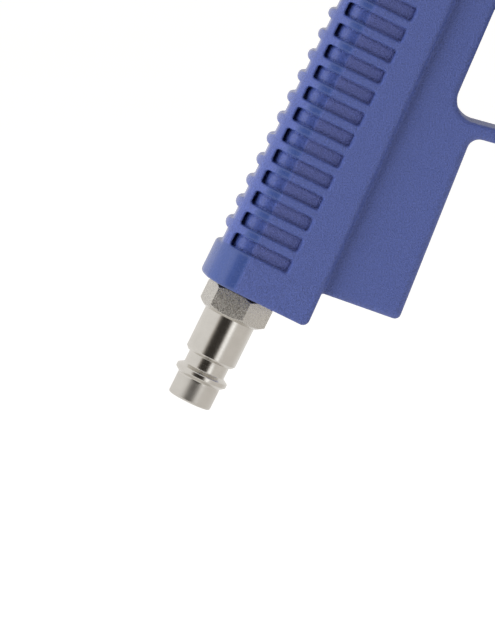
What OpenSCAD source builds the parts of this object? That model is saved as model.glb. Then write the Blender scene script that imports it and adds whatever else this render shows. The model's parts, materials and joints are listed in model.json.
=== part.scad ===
// Air-operated desoldering pump in pistol form.
// Compressed air enters at the plug under the grip, the trigger opens a poppet valve, and an
// ejector in the receiver draws molten solder through the nozzle into a glass collector tube.
// Row frame: +X towards the nozzle, +Z up, origin at the open end of the air plug on its axis.

/* [Grip] */
// Lean of the grip from the vertical, degrees
grip_rake = 26.2; // [22:0.2:30]
// Width of the rear part of the grip, side to side
grip_w = 26; // [25:0.5:30]
// Width of the front plate of the grip, side to side
plate_w = 22; // [20:0.5:24]
// Number of pockets between the ribs
pocket_count = 13; // [9:1:13]
// Distance from one rib to the next
rib_pitch = 5.14; // [4.8:0.02:5.2]
// Height of one pocket between two ribs
pocket_h = 3.12; // [2.4:0.02:3.4]

/* [Receiver] */
// Height of the barrel axis above the open end of the air plug
barrel_z = 122; // [121:0.5:124]
// Width of the receiver, side to side
receiver_w = 32; // [31:0.5:36]
// Height of the receiver
receiver_h = 36; // [35:0.5:38]
// Thickness of the moulded walls
wall = 2.5; // [2:0.1:3]

/* [Collector] */
// Outer diameter of the glass collector tube
tube_d = 18; // [16:0.5:18]
// Length of the glass collector tube
tube_len = 51.9; // [51.5:0.1:51.9]

/* [Air plug] */
// Width across flats of the plug's hexagon
plug_af = 14; // [13:0.5:15]
// Diameter of the plug's bore
plug_bore = 7.2; // [6:0.2:7.4]

/* [Hidden] */
$fn = 48;
eps = 0.01;
run_gap = 0.05; // running clearance on a radius

// Air plug, measured up its axis from the open end
plug_nose = [5.2, 5.05];      // length, radius
plug_collar = [7.7, 6.08];    // upper end, radius
plug_neck = [10.5, 4.83];
plug_body = [20.8, 5.95];
hex_h = 5.9;
grip_base = 27.2;             // underside of the grip
thread_r = 6.55;
thread_len = 9;
bush_r = 8;

// Grip, in its own frame: x forward across the grip, z up along it from its underside
back_x = -10.5;
side_x = -2.1;                // where the flat side begins
round_x = -3.3;               // where the rounded back begins
step_low = 15.8;              // front edge of the rear part, at its foot
step_high = 12.4;             // the same edge at the top
grip_top = 92;
first_pocket = 10.4;
pocket_x = [-7.24, 6.63];
pocket_deep = 1.6;
spine_x = -9.4;
shoulder = 0.7;               // how far the flat side stands proud of the rounded back
core_w = grip_w - 2 * pocket_deep;
cavity_w = core_w - 4;
valve_z = 82.6;               // height of the valve's axis up the grip
pin_at = [25.5, 104.6];       // trigger pin

// Finger opening of the guard, in the row frame as [x, z]
opening = [[57.4, 64], [78.6, 58.1], [97.6, 63.3], [103.6, 104], [74.6, 104]];
opening_round = 5;
guard_t = 3.2;
guard_w = 16;
guard_x = 72;                 // where the guard joins the front plate of the grip
tenon = [4, 0.8];             // length, and depth below the guard's faces
tongue_x = [98.6, 103.5];     // the guard's upper end, held in the receiver
tongue_top = 111.5;

// Receiver and barrel, along X
rear_x = 26;
front_x = 104;
face_t = 6;                   // thickness of the receiver's front wall
tube_x = front_x + 2.05;
seat_x = front_x + 54;        // rear face of the front gasket
ring_x = [160, 174];
ring_r = 16;
head_r = 11;
cradle_w = 28;
cradle_z = [106, 119];
sleeve_x = [62, 98];
cart_r = tube_d / 2;
sleeve_r = cart_r + 2;
receiver_bottom = barrel_z - receiver_h / 2;
receiver_top = barrel_z + receiver_h / 2;

// Screws, as [x, z] in the grip's frame and in the row frame
grip_screws = [[12, 5], [28.5, 16.5], [26, 47.5]];
row_screws = [[36, 133.8], [99.8, 134.6], [100.2, 108.8], [165, 105.2]];
screw_r = 1.25;
screw_head = [2.9, 2];        // radius, height
eye_at = [37, 146];
eye_r = 4;

// ---- frames and small helpers ----

module in_grip() { rotate([0, grip_rake, 0]) translate([0, 0, grip_base]) children(); }

module in_grip_2d() { rotate(-grip_rake) translate([0, grip_base]) children(); }

// A side profile drawn as [x, z], made w wide across Y
module slab(w) { rotate([90, 0, 0]) linear_extrude(w, center = true) children(); }

// A cross-section drawn as [y, z], run along X
module along_x(from, to) { translate([from, 0, 0]) rotate([90, 0, 90]) linear_extrude(to - from) children(); }

module x_cyl(from, to, r) { translate([from, 0, barrel_z]) rotate([0, 90, 0]) cylinder(h = to - from, r = r); }

module x_cone(from, to, r1, r2) {
    translate([from, 0, barrel_z]) rotate([0, 90, 0]) cylinder(h = to - from, r1 = r1, r2 = r2);
}

// A ring of round section about the barrel axis
module x_torus(x, mid_r, wire_r) {
    translate([x, 0, barrel_z]) rotate([0, 90, 0]) rotate_extrude() translate([mid_r, 0]) circle(wire_r);
}

// A cylinder along the valve's axis, in the grip's frame
module v_cyl(from, to, r) { translate([from, 0, valve_z]) rotate([0, 90, 0]) cylinder(h = to - from, r = r); }

module y_cyl(x, z, from, to, r) { translate([x, from, z]) rotate([-90, 0, 0]) cylinder(h = to - from, r = r); }

module rounded(r) { offset(r = r) offset(delta = -r) children(); }

// A wire coil along Z: mid-line radius, wire radius, length and turns
module coil(mid_r, wire_r, len, turns, steps = 14, sides = 6) {
    n = turns * steps;
    pts = [for (i = [0:n]) let (a = 360 * i / steps)
        for (j = [0:sides - 1]) let (b = 360 * j / sides, r = mid_r + wire_r * cos(b))
            [r * cos(a), r * sin(a), len * i / n + wire_r * sin(b)]];
    walls = [for (i = [0:n - 1]) for (j = [0:sides - 1]) let (k = (j + 1) % sides)
        [i * sides + j, (i + 1) * sides + j, (i + 1) * sides + k, i * sides + k]];
    ends = [[for (j = [0:sides - 1]) j], [for (j = [sides - 1:-1:0]) n * sides + j]];
    polyhedron(points = pts, faces = concat(walls, ends), convexity = 10);
}

// A round outline with n shallow flutes
module fluted(r, n, depth) {
    polygon([for (i = [0:4 * n - 1]) let (d = i % 4 < 2 ? 0 : depth) (r - d) * [cos(90 * i / n), sin(90 * i / n)]]);
}

// ---- housing ----

// Cross-section of the rear part of the grip, as [x, y]: flat sides, a small shoulder, a rounded back
module grip_section(half, inset = 0) {
    round_half = half - shoulder;
    back = round_x - back_x - inset;
    polygon(concat(
        [[20, half], [side_x, half]],
        [for (a = [90:10:270]) [round_x + back * cos(a), round_half * sin(a)]],
        [[side_x, -half], [20, -half]]));
}

module grip_outline() {
    rounded(1.6) polygon([[back_x - 1, 0], [step_low, 0], [step_high, grip_top + 8], [back_x - 1, grip_top + 8]]);
}

module plate_polygon() {
    polygon([[8, 7.2], [33.4, 10.2], [29.6, 57], [22.6, 66], [22, grip_top + 14], [8, grip_top + 14]]);
}

module finger_opening() { rounded(opening_round) polygon(opening); }

// A strip round the finger opening, between two distances from it
module guard_strip(from, to) {
    difference() {
        offset(r = to) finger_opening();
        offset(r = from) finger_opening();
    }
}

module guard_outline() {
    difference() {
        intersection() {
            guard_strip(0, guard_t);
            translate([guard_x, 0]) square([60, cradle_z[0]]);
        }
        receiver_side();
        translate([guard_x - 1, 80]) square([20, 40]);
    }
}

// The guard's lower end, let into the front plate
module guard_tenon(gap = 0) {
    slab(plate_w / 2 + 2 * gap) intersection() {
        guard_strip(tenon[1] - gap, guard_t - tenon[1] + gap);
        translate([guard_x - tenon[0] - gap, 50]) square([tenon[0] + 0.5 + gap, 20]);
    }
}

// The guard's upper end, held by the lower front screw
module guard_tongue(gap = 0) {
    slab(guard_w / 3 + 2 * gap) translate([tongue_x[0] - gap, receiver_bottom - 0.4])
        square([tongue_x[1] - tongue_x[0] + 2 * gap, tongue_top - receiver_bottom + 0.4 + gap]);
}

module finger_guard() {
    color([0.29, 0.34, 0.63]) difference() {
        union() {
            slab(guard_w) guard_outline();
            guard_tenon();
            guard_tongue();
        }
        screw_holes();
    }
}

module plate_outline() {
    difference() {
        offset(r = -2.4) offset(delta = 2.4) union() {
            in_grip_2d() rounded(1.4) plate_polygon();
            intersection() {
                guard_strip(0, guard_t);
                translate([50, 50]) square([guard_x - 50, 25]);
            }
        }
        finger_opening();
    }
}

module pockets() {
    for (k = [0:pocket_count - 1]) {
        translate([0, 0, first_pocket + k * rib_pitch - pocket_h / 2]) {
            difference() {
                translate([pocket_x[0], -grip_w, 0]) cube([pocket_x[1] - pocket_x[0], 2 * grip_w, pocket_h]);
                translate([0, 0, -1]) linear_extrude(pocket_h + 2) grip_section(core_w / 2, pocket_deep);
            }
            translate([back_x - 5, -grip_w, 0]) cube([spine_x - back_x + 5, 2 * grip_w, pocket_h]);
        }
    }
}

module receiver_section(inset = 0) {
    offset(delta = -inset) rounded(7)
        translate([-receiver_w / 2, receiver_bottom]) square([receiver_w, receiver_h]);
}

module receiver_side() {
    rounded(5) polygon([[rear_x, receiver_bottom + 6], [rear_x, receiver_top], [front_x, receiver_top],
        [front_x, receiver_bottom], [rear_x + 16, receiver_bottom]]);
}

module hang_eye() {
    slab(8) difference() {
        hull() {
            translate(eye_at) circle(eye_r + 3);
            translate([rear_x + 5, receiver_top - 3]) square([26, 1]);
        }
        translate(eye_at) circle(eye_r);
    }
}

// Two ears on the cradle's rear end, let into the receiver's front wall
module cradle_ears(gap = 0) {
    for (side = [-1, 1]) translate([front_x - face_t, side * 7.5 - 2.5 - gap, cradle_z[0] - gap])
        cube([face_t + 0.5, 5 + 2 * gap, 5.5 + 2 * gap]);
}

// The trough under the glass tube and the ring round the front head
module collector_cradle() {
    color([0.29, 0.34, 0.63]) difference() {
        union() {
            along_x(front_x, ring_x[0] + 1) rounded(2.5)
                translate([-cradle_w / 2, cradle_z[0]]) square([cradle_w, cradle_z[1] - cradle_z[0]]);
            x_cyl(ring_x[0], ring_x[1], ring_r);
            slab(cradle_w - 8) rounded(2) polygon([[150, 110], [152, 101.5], [170, 101.5], [174, 110]]);
            cradle_ears();
        }
        x_cyl(front_x - 2, ring_x[0], cart_r + 0.5);
        x_cyl(ring_x[0] - 1, ring_x[1] + 1, head_r);
        x_cyl(165, 168, 12.5);
        screw_holes();
    }
}

module housing_outer() {
    in_grip() difference() {
        intersection() {
            linear_extrude(grip_top + 8) grip_section(grip_w / 2);
            slab(40) grip_outline();
        }
        pockets();
    }
    slab(plate_w) plate_outline();
    intersection() {
        along_x(rear_x, front_x) receiver_section();
        slab(60) receiver_side();
    }
    hang_eye();
}

module boss(x, z, r, half) { y_cyl(x, z, -half, half, r); }

module screw_bosses() {
    in_grip() for (p = [grip_screws[1], grip_screws[2]]) boss(p[0], p[1], 3.2, plate_w / 2 - 1);
    boss(row_screws[0][0], row_screws[0][1], 3.2, receiver_w / 2 - 1);
}

// Open space inside the two shells, with the ribs and saddles that carry the inner parts left standing
module housing_cavity() {
    difference() {
        union() {
            in_grip() {
                intersection() {
                    translate([0, 0, 16]) linear_extrude(grip_top - 9)
                        grip_section(cavity_w / 2, pocket_deep + 2);
                    union() {
                        translate([-9, -20, 16]) cube([21, 40, 57.5]);
                        translate([-8.4, -20, valve_z - 11]) cube([28.4, 40, 22]);
                    }
                }
                slab(plate_w - 2 * wall) offset(delta = -wall)
                    polygon([[8, 16], [33, 11], [29.6, 55.4], [26, 56], [21.5, 66], [8, 66]]);
            }
            intersection() {
                along_x(rear_x + 4, front_x - face_t) receiver_section(wall);
                slab(60) offset(delta = -wall) receiver_side();
            }
        }
        screw_bosses();
        in_grip() for (x = [-5.5, 16]) saddle(x);
        for (x = [66, 92]) barrel_saddle(x);
        for (s = [-1, 1]) in_grip() translate([0, s * 9.3, 0]) y_cyl(pin_at[0], pin_at[1], -5, 5, 4);
    }
}

module saddle(x) { translate([x, -15, valve_z - 8]) cube([2, 30, 12]); }

module barrel_saddle(x) { translate([x, -20, receiver_bottom]) cube([2, 40, receiver_h]); }

// Seats cut to fit the parts that the shells hold
module housing_seats() {
    in_grip() {
        translate([0, 0, -1]) cylinder(h = 17.1, r = bush_r);
        translate([0, 0, 12.4]) cylinder(h = 2.6, r = bush_r + 0.8);
        v_cyl(-8.4, 20, 7);
        v_cyl(19, 26, 2.3);
        y_cyl(pin_at[0], pin_at[1], -13, 13, 1.5);
    }
    x_cyl(sleeve_x[0], sleeve_x[1], sleeve_r);
    x_cyl(sleeve_x[1] - 1, front_x + 1, cart_r + 0.1);
    x_cyl(rear_x - 1, rear_x + 5, 8);
    transfer_bore(3.2);
    trigger_slot();
    guard_tenon(run_gap);
    guard_tongue(run_gap);
    cradle_ears(run_gap);
}

module trigger_slot() {
    translate([72.5, -4.4, receiver_bottom - 6]) cube([19, 8.8, 12.6]);
}

// Runs its children at each screw, with Z out of the housing's left side
module screw_places() {
    in_grip() {
        screw_frame(grip_screws[0], grip_w / 2) children();
        for (i = [1, 2]) screw_frame(grip_screws[i], plate_w / 2) children();
    }
    for (i = [0, 1]) screw_frame(row_screws[i], receiver_w / 2 - 0.6) children();
    screw_frame(row_screws[2], receiver_w / 2 - 1.4) children();
    screw_frame(row_screws[3], cradle_w / 2 - 4) children();
}

// The zero is under the screw's head, in a housing of this half width
module screw_frame(at, half) { translate([at[0], half - 2.6, at[1]]) rotate([-90, 0, 0]) children(); }

module screw_holes() {
    screw_places() {
        union() {
            cylinder(h = 10, r = screw_head[0] + 0.25);
            translate([0, 0, -15]) cylinder(h = 15.1, r = screw_r);
        }
    }
}

module shell_half(side) {
    difference() {
        housing_outer();
        housing_cavity();
        housing_seats();
        screw_holes();
        translate([-50, side > 0 ? -100 : 0, -50]) cube([400, 100, 300]);
    }
}

module shell_right() { color([0.29, 0.34, 0.63]) shell_half(-1); }

module shell_left() { color([0.29, 0.34, 0.63]) shell_half(1); }

module housing_screws() {
    color([0.2, 0.2, 0.22]) screw_places() difference() {
        union() {
            cylinder(h = screw_head[1], r = screw_head[0]);
            translate([0, 0, -14]) cylinder(h = 14.1, r = screw_r);
        }
        for (a = [0, 90]) rotate(a) translate([-1.8, -0.4, screw_head[1] - 1]) cube([3.6, 0.8, 2]);
    }
}

// ---- air inlet ----

module air_plug() {
    color([0.78, 0.77, 0.74]) rotate([0, grip_rake, 0]) difference() {
        union() {
            cylinder(h = plug_nose[0], r = plug_nose[1]);
            translate([0, 0, plug_nose[0]]) cylinder(h = 0.8, r1 = plug_nose[1], r2 = plug_collar[1]);
            translate([0, 0, plug_nose[0] + 0.8]) cylinder(h = 0.9, r = plug_collar[1]);
            translate([0, 0, plug_nose[0] + 1.7]) cylinder(h = 0.8, r1 = plug_collar[1], r2 = plug_neck[1]);
            translate([0, 0, plug_collar[0]]) cylinder(h = plug_neck[0] - plug_collar[0], r = plug_neck[1]);
            translate([0, 0, plug_neck[0]]) cylinder(h = 0.7, r1 = 5.3, r2 = plug_body[1]);
            translate([0, 0, plug_neck[0] + 0.7]) cylinder(h = plug_body[0] - plug_neck[0], r = plug_body[1]);
            plug_hexagon();
            translate([0, 0, plug_body[0] + 4]) cylinder(h = grip_base - plug_body[0] - 4 + thread_len, r = thread_r);
        }
        translate([0, 0, -1]) cylinder(h = 60, r = plug_bore / 2);
    }
}

// The hexagon is chamfered at both ends
module plug_hexagon() {
    translate([0, 0, plug_body[0]]) intersection() {
        rotate(-11) cylinder(h = hex_h, r = plug_af / sqrt(3), $fn = 6);
        cylinder(h = hex_h, r1 = plug_af / 2 - 0.6, r2 = plug_af / 2 - 0.6 + 1.5 * hex_h);
        cylinder(h = hex_h, r1 = plug_af / 2 + 0.2 + 1.5 * hex_h, r2 = plug_af / 2 + 0.2);
    }
}

module plug_seal() {
    color([0.08, 0.08, 0.08]) in_grip() translate([0, 0, -0.5]) difference() {
        cylinder(h = 0.8, r = 7.9);
        translate([0, 0, -1]) cylinder(h = 3, r = thread_r);
    }
}

module inlet_bushing() {
    color([0.76, 0.62, 0.35]) in_grip() difference() {
        union() {
            translate([0, 0, 0.3]) cylinder(h = 15.7, r = bush_r);
            translate([0, 0, 12.4]) cylinder(h = 2.6, r = bush_r + 0.8);
            translate([0, 0, 16]) cylinder(h = 10, r = 3.4);
        }
        translate([0, 0, -1]) cylinder(h = 12, r = thread_r);
        cylinder(h = 30, r = 2.4);
    }
}

module supply_tube() {
    color([0.2, 0.3, 0.6]) in_grip() translate([0, 0, 18]) difference() {
        cylinder(h = 57, r = 4.5);
        translate([0, 0, -1]) cylinder(h = 60, r = 3.4);
    }
}

module tube_ferrules() {
    color([0.75, 0.75, 0.76]) in_grip() for (z = [19, 69]) translate([0, 0, z]) difference() {
        cylinder(h = 5, r = 5.2);
        translate([0, 0, -1]) cylinder(h = 7, r = 4.5);
    }
}

// ---- valve, in the grip's frame along x ----

module valve_body() {
    color([0.76, 0.62, 0.35]) in_grip() difference() {
        union() {
            v_cyl(-7, 20, 7);
            translate([0, 0, 65]) cylinder(h = valve_z - 65, r = 3.4);
        }
        v_cyl(-8, 8, 5);
        v_cyl(7, 16.4, 3.4);
        v_cyl(7, 21, 2 + run_gap);
        v_cyl(17.3, 18.6, 3.2);
        translate([0, 0, 60]) cylinder(h = valve_z - 60, r = 2.2);
        translate([14.5, 0, valve_z]) cylinder(h = 12, r = 1.8);
    }
}

module valve_seat() {
    color([0.1, 0.1, 0.1]) in_grip() difference() {
        v_cyl(7, 8, 5);
        v_cyl(6, 9, 2.8);
    }
}

module valve_stem() {
    color([0.8, 0.8, 0.82]) in_grip() {
        v_cyl(4, 6.95, 4.2);
        v_cyl(6.9, 25.2, 2);
        translate([25, 0, valve_z]) sphere(r = 2);
        v_cyl(0, 4.1, 1.6);
    }
}

module stem_oring() {
    color([0.1, 0.1, 0.1]) in_grip() translate([17.95, 0, valve_z]) rotate([0, 90, 0])
        rotate_extrude() translate([2.62, 0]) circle(0.56);
}

module valve_spring() {
    color([0.7, 0.7, 0.72]) in_grip() translate([-2.9, 0, valve_z]) rotate([0, 90, 0])
        coil(2.7, 0.45, 6.3, 5);
}

module valve_cap() {
    color([0.76, 0.62, 0.35]) in_grip() difference() {
        union() {
            v_cyl(-7.1, -3.5, 5);
            v_cyl(-8.3, -7, 6.5);
        }
        translate([-8.9, -2.6, valve_z - 0.5]) cube([1.2, 5.2, 1]);
    }
}

// ---- trigger ----

module trigger_outline() {
    difference() {
        union() {
            translate(pin_at) circle(3.6);
            translate(pin_at) rounded(1) offset(r = -3) offset(delta = 3)
                polygon([[-2.4, -2], [3, -2], [5.9, -10], [5.4, -18], [5.9, -26], [9.1, -35.4],
                    [6.5, -36], [1.9, -31], [1.7, -7]]);
        }
        translate(pin_at) circle(1.5 + run_gap);
    }
}

module trigger() {
    color([0.12, 0.12, 0.13]) in_grip() difference() {
        union() {
            slab(8) trigger_outline();
            slab(12) intersection() {
                trigger_outline();
                translate([pin_at[0] - 5, pin_at[1] - 46]) square([20, 37.4]);
            }
        }
        y_cyl(pin_at[0], pin_at[1], -10, 10, 1.5 + run_gap);
    }
}

module trigger_pin() {
    color([0.75, 0.75, 0.77]) in_grip() y_cyl(pin_at[0], pin_at[1], -12.9, 12.9, 1.5);
}

// ---- ejector ----

module transfer_bore(r) {
    in_grip() translate([14.5, 0, valve_z + 6.2]) cylinder(h = 19, r = r);
}

module transfer_tube() {
    color([0.8, 0.8, 0.82]) difference() {
        in_grip() translate([14.5, 0, valve_z + 4]) cylinder(h = 24, r = 3);
        in_grip() translate([14.5, 0, valve_z]) cylinder(h = 40, r = 1.8);
        in_grip() v_cyl(-8, 21, 7);
        x_cyl(sleeve_x[0] - 5, sleeve_x[1], sleeve_r);
    }
}

module ejector_sleeve() {
    color([0.8, 0.81, 0.83]) difference() {
        x_cyl(sleeve_x[0], sleeve_x[1], sleeve_r);
        x_cyl(sleeve_x[0] - 1, sleeve_x[1] + 1, cart_r + run_gap);
        in_grip() translate([14.5, 0, valve_z + 8]) cylinder(h = 24, r = 1.8);
    }
}

module ejector_body() {
    color([0.72, 0.73, 0.76]) difference() {
        x_cyl(66, front_x, cart_r);
        for (x = [67.2, 81.2]) x_ring_cut(x, x + 1.7, cart_r - 1.5);
        x_ring_cut(70.5, 78.5, cart_r - 1.8);
        x_cyl(65, 70, 5);
        x_cyl(69, 90, 4);
        x_cyl(89, front_x + 1, 2.5);
        for (a = [0, 180]) translate([74.5, 0, barrel_z]) rotate([a, 0, 0]) cylinder(h = 12, r = 1);
    }
}

module x_ring_cut(from, to, r) {
    difference() {
        x_cyl(from, to, cart_r + 2);
        x_cyl(from - 1, to + 1, r);
    }
}

module ejector_jet() {
    color([0.76, 0.62, 0.35]) difference() {
        x_cyl(71.5, 79.5, 4);
        x_cyl(70, 75.5, 0.7);
        for (a = [0, 180]) translate([74.5, 0, barrel_z]) rotate([a, 0, 0]) cylinder(h = 12, r = 0.9);
        for (a = [-45, 45, 135, 225]) translate([70, 0, barrel_z]) rotate([a, 0, 0]) translate([0, 0, 2.6])
            rotate([0, 90, 0]) cylinder(h = 12, r = 0.8);
    }
}

module ejector_orings() {
    color([0.1, 0.1, 0.1]) for (x = [68.05, 82.05]) x_torus(x, cart_r - 0.73, 0.75);
}

module diffuser_tube() {
    color([0.8, 0.81, 0.83]) difference() {
        x_cyl(18, 70, 5);
        x_cone(64, 70 + eps, 1.6, 3.2);
        x_cyl(60, 64.1, 1.6);
        x_cone(17.99, 60.1, 3.6, 1.6);
    }
}

module return_spring() {
    color([0.7, 0.7, 0.72]) translate([34.8, 0, barrel_z]) rotate([0, 90, 0]) coil(6.9, 0.75, 30.3, 8);
}

module rear_cap() {
    color([0.1, 0.1, 0.11]) difference() {
        union() {
            x_cyl(22, rear_x, 13);
            x_cyl(rear_x - 0.1, 34, 8);
        }
        x_cyl(20, 36, 5 + run_gap);
    }
}

module exhaust_knob() {
    color([0.1, 0.1, 0.11]) difference() {
        translate([6, 0, barrel_z]) rotate([0, 90, 0]) linear_extrude(14) fluted(11.5, 24, 0.7);
        x_cyl(8, 18, 7);
        x_cyl(17, 21, 5);
        for (a = [0:60:300]) translate([5, 0, barrel_z]) rotate([a, 0, 0]) translate([0, 0, 4.4])
            rotate([0, 90, 0]) cylinder(h = 4, r = 1.3);
    }
}

module silencer_core() { color([0.6, 0.5, 0.33]) x_cyl(8, 18, 7); }

// ---- collector ----

module rear_gasket() {
    color([0.75, 0.3, 0.2]) difference() {
        x_cyl(front_x, front_x + 2, cart_r);
        x_cyl(front_x - 1, front_x + 3, 2.5);
    }
}

module collector_tube() {
    color([0.85, 0.9, 0.92, 0.4]) difference() {
        x_cyl(tube_x, tube_x + tube_len, tube_d / 2);
        x_cyl(tube_x - 1, tube_x + tube_len + 1, tube_d / 2 - 1.8);
    }
}

module filter_pad() { color([0.93, 0.92, 0.88]) x_cyl(tube_x + 1, tube_x + 6, tube_d / 2 - 1.8); }

module baffle_coil() {
    color([0.75, 0.75, 0.77]) translate([tube_x + 24, 0, barrel_z]) rotate([0, 90, 0])
        coil(tube_d / 2 - 2.5, 0.6, 24, 6);
}

module front_gasket() {
    color([0.75, 0.3, 0.2]) difference() {
        x_cyl(seat_x, ring_x[0], cart_r + 0.5);
        x_cyl(seat_x - 1, ring_x[0] + 1, 3);
    }
}

module front_head() {
    color([0.8, 0.81, 0.83]) difference() {
        union() {
            x_cyl(ring_x[0], ring_x[1], head_r);
            x_cyl(165, 168, 12.5);
            x_cyl(ring_x[1], 178, 14);
            x_cone(178, 189, 12.6, 8);
            x_cyl(188.9, 198, 6.5);
        }
        x_cyl(ring_x[0] - 1, 193, 3);
        x_cyl(192, 199, 4.4);
    }
}

module nozzle_nut() {
    color([0.8, 0.81, 0.83]) difference() {
        translate([190, 0, barrel_z]) rotate([0, 90, 0]) linear_extrude(11) fluted(9, 20, 0.5);
        x_cyl(189, 199.5, 6.5);
        x_cyl(199, 202, 4.2);
    }
}

module nozzle_oring() { color([0.1, 0.1, 0.1]) x_torus(194.6, 3.88, 0.48); }

module nozzle() {
    color([0.94, 0.94, 0.92]) difference() {
        union() {
            x_cyl(193, 198.1, 3.4);
            x_cyl(198, 199.5, 6.4);
            x_cyl(199.4, 207, 4.1);
            x_cone(207, 209, 4.1, 3.3);
            x_cone(209, 220, 3.3, 2.1);
        }
        x_cyl(192, 206, 2);
        x_cyl(205, 221, 1.1);
    }
}

shell_right();
shell_left();
finger_guard();
collector_cradle();
housing_screws();
air_plug();
plug_seal();
inlet_bushing();
supply_tube();
tube_ferrules();
valve_body();
valve_seat();
valve_stem();
stem_oring();
valve_spring();
valve_cap();
trigger();
trigger_pin();
transfer_tube();
ejector_sleeve();
ejector_body();
ejector_jet();
ejector_orings();
diffuser_tube();
return_spring();
rear_cap();
exhaust_knob();
silencer_core();
rear_gasket();
collector_tube();
filter_pad();
baffle_coil();
front_gasket();
front_head();
nozzle_nut();
nozzle_oring();
nozzle();
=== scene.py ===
"""Looks of a pistol-form, air-operated desoldering pump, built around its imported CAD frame.

The moulded parts are signed-distance fields, combined with rounded edges and then skinned with
quads. The turned parts are half sections swept round an axis. Lengths are millimetres until a
mesh is made.
"""

import json
import math

import bpy
import numpy as np
from mathutils import Matrix, Vector


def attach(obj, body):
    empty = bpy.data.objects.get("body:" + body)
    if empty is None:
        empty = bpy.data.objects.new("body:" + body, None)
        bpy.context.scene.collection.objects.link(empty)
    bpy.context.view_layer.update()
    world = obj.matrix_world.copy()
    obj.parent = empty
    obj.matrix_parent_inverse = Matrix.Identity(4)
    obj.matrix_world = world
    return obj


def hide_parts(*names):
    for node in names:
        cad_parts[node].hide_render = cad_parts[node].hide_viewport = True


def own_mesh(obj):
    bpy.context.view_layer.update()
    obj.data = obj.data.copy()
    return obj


MM = 0.001
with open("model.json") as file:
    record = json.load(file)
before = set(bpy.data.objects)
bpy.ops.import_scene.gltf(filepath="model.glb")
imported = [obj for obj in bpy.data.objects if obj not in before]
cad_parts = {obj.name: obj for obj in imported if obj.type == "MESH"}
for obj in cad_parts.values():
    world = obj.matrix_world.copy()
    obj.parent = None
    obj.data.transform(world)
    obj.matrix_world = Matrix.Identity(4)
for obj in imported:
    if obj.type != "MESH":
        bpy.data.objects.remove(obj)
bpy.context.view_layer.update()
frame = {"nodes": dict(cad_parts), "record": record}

# ---- driving dimensions, in millimetres ----

RAKE = math.radians(26.2)
GRIP_BASE = 27.2  # from the plug's open end to the underside of the grip
GRIP_HALF = 13.0
PLATE_HALF = 11.0
GUARD_HALF = 8.0
GUARD_T = 3.2
BACK_U = -10.5  # tips of the ribs on the grip's back
SPINE_U = -9.2  # the back between the ribs
SIDE_U = -2.1  # where the polished back meets the textured side
ROUND_U = -3.3  # where the back begins to turn
SHOULDER = 0.3  # how far the textured side stands proud
POCKET_COUNT = 13
FIRST_POCKET = 10.4
PITCH = 5.14
POCKET_H = 3.12
POCKET_U = (-7.24, 6.63)
POCKET_DEEP = 1.6
GROOVE, GROOVE_DEEP = 0.32, 0.22  # width and depth of the groove round each pocket floor
STEP_FOOT = 15.8  # front edge of the rear part of the grip, at its foot
STEP_LEAN = 0.034  # how far it moves back for each millimetre up
BARREL_Z = 122.0
RECEIVER = {"x": (26.0, 104.0), "half": 16.0, "z": (104.0, 140.0), "corner": 7.0}
OPENING = [(57.4, 64.0), (78.6, 58.1), (97.6, 63.3), (103.6, 104.0), (74.6, 104.0)]
OPENING_R = 5.0
PLATE = [(8, 7.2), (33.4, 10.2), (29.6, 57), (22.6, 66), (22, 106), (8, 106)]
EYE = (37.0, 146.0)
TUBE_R = 9.0
TUBE_X = (106.05, 157.95)
RING_X = (160.0, 174.0)
CRADLE_Z = (106.0, 119.0)
GUARD_X = 72.0  # where the guard joins the front plate
TONGUE_X, TONGUE_TOP = (98.6, 103.5), 111.5
TENON_EDGE, TENON_LONG = 0.8, 4.0
PIN_AT = (25.5, 104.6)
VALVE_W = 82.6
HEX_FOOT, HEX_APOTHEM, HEX_TURN = 20.8, 7.0, -11.0
VALVE_U, VALVE_R = (-8.4, 20.0), 7.0  # the valve body's seat
BUSH_R = 8.0
RING_R, HEAD_R, COLLAR_R = 16.0, 11.0, 12.5
WALL = 2.5

# Screws: frame ("grip" or "row"), place, and half width of the housing there
SCREWS = [
    ("grip", (12, 5), 13.0),
    ("grip", (28.5, 16.5), 11.0),
    ("grip", (26, 47.5), 11.0),
    ("row", (36, 133.8), 15.4),
    ("row", (99.8, 134.6), 15.4),
    ("row", (100.2, 108.8), 14.6),
    ("row", (165, 105.2), 10.0),
]
SCREW_SUNK = 2.6
SCREW_R, SCREW_HEAD_R = 1.25, 2.9


def grip_to_row(u, w):
    """Row-frame x and z of a point given across and up the grip."""
    up = w + GRIP_BASE
    return (u * math.cos(RAKE) + up * math.sin(RAKE), up * math.cos(RAKE) - u * math.sin(RAKE))


def grip_matrix(u=0.0, y=0.0, w=0.0):
    x, z = grip_to_row(u, w)
    return Matrix.Translation((x, y, z)) @ Matrix.Rotation(RAKE, 4, "Y")


def barrel_matrix(x=0.0):
    """Local Z runs along the barrel, towards the nozzle."""
    return Matrix.Translation((x, 0, BARREL_Z)) @ Matrix.Rotation(math.pi / 2, 4, "Y")


# ---- fields ----


class Block:
    """Sample points of a box: x, y and z, and u and w, across and up the grip."""

    def __init__(self, low, high, step):
        counts = [int(math.ceil((h - l) / step)) + 1 for l, h in zip(low, high)]
        axes = [(l + step * np.arange(n)).astype(np.float32) for l, n in zip(low, counts)]
        self.low, self.step = np.array(low, float), step
        self.x = axes[0][:, None, None]
        self.y = axes[1][None, :, None]
        self.z = axes[2][None, None, :]
        c, s = math.cos(RAKE), math.sin(RAKE)
        self.u = self.x * c - self.z * s
        self.w = self.x * s + self.z * c - GRIP_BASE


def both(a, b, r=0.0):
    """Where both shapes are, with its edges rounded to radius r."""
    if r <= 0:
        return np.maximum(a, b)
    outside = np.sqrt(np.maximum(a + r, 0) ** 2 + np.maximum(b + r, 0) ** 2)
    return np.minimum(np.maximum(a, b), -r) + outside


def either(a, b, r=0.0):
    """Where either shape is, with a fillet of radius r between them."""
    return -both(-a, -b, r)


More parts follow.
